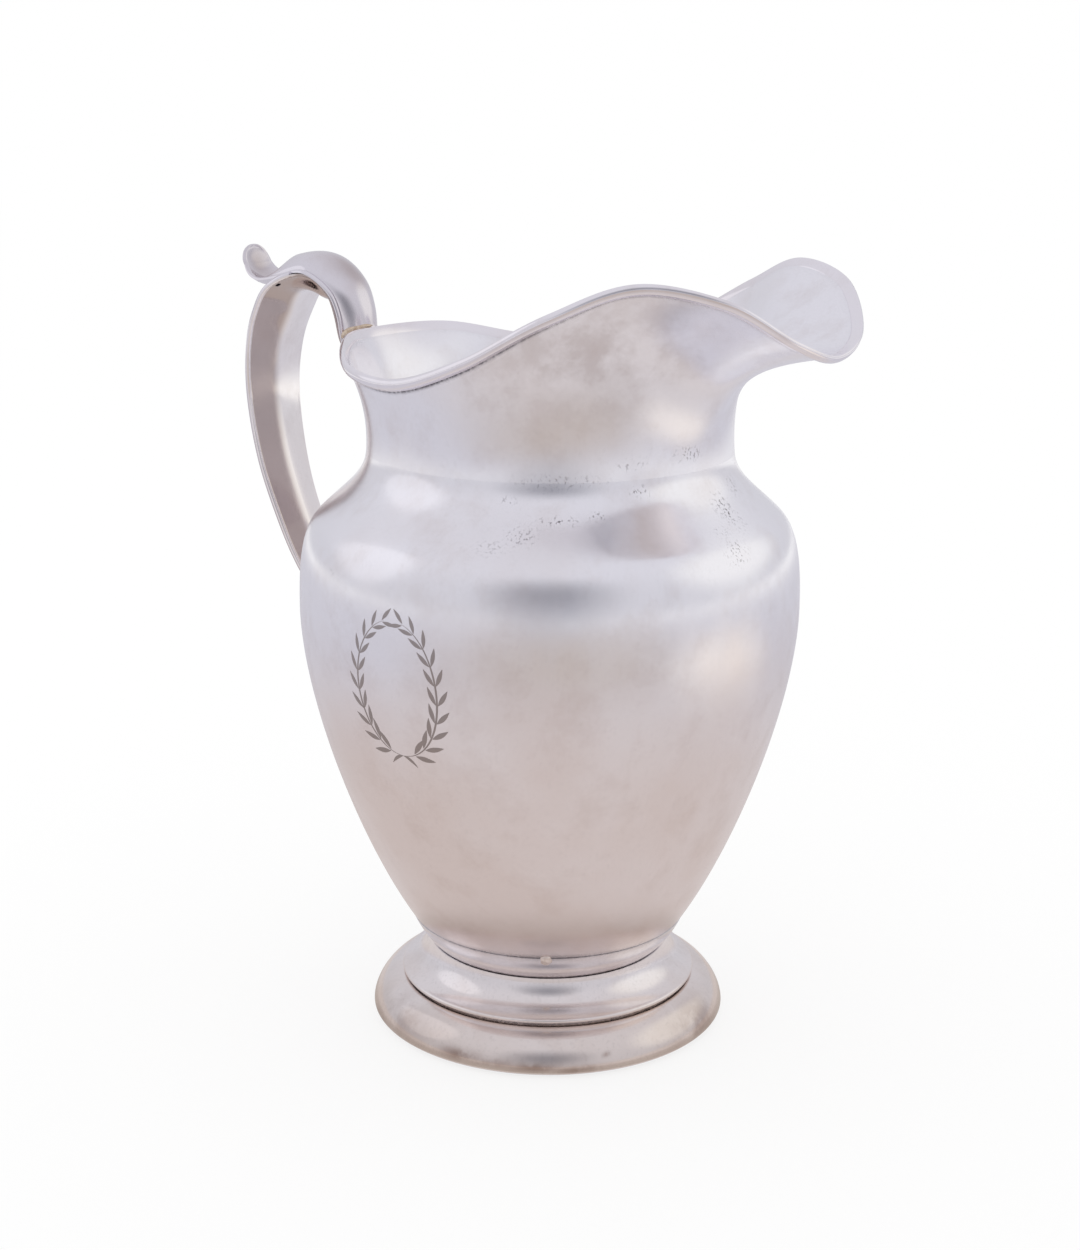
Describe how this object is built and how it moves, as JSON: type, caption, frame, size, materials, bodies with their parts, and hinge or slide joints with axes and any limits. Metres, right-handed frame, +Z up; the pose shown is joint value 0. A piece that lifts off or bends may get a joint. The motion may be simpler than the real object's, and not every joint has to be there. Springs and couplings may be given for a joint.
{
  "type": "water pitcher",
  "caption": "Polished silver water pitcher with a footed round bowl, a hollow shoulder, a broad raised spout and a hollow scroll handle with a thumb leaf.",
  "frame": {"origin": "on the surface it stands on, under the middle of its length from the handle to the spout", "axes": "+Z up along the bowl's axis, +X towards the spout, +Y across the mirror plane"},
  "size_m": [0.207, 0.1502, 0.2336],
  "materials": {
    "bowl_silver": "polished silver, worn",
    "neck_silver": "polished silver, worn",
    "wire_silver": "polished silver, worn",
    "foot_silver": "polished silver, lightly tarnished",
    "base_silver": "dull silver",
    "handle_silver": "polished silver, worn",
    "solder": "dull silver solder"
  },
  "bodies": {
    "root": {"body_bowl": "bowl_silver", "neck_spout": "neck_silver", "rim_wire": "wire_silver", "foot_collar": "foot_silver", "foot_dome": "foot_silver", "foot_moulding": "foot_silver", "foot_bearing_ring": "base_silver", "handle_face": "handle_silver", "handle_back": "handle_silver", "handle_scroll": "handle_silver", "handle_rim_solder": "solder", "collar_seam_solder": "solder"}
  },
  "joints": []
}
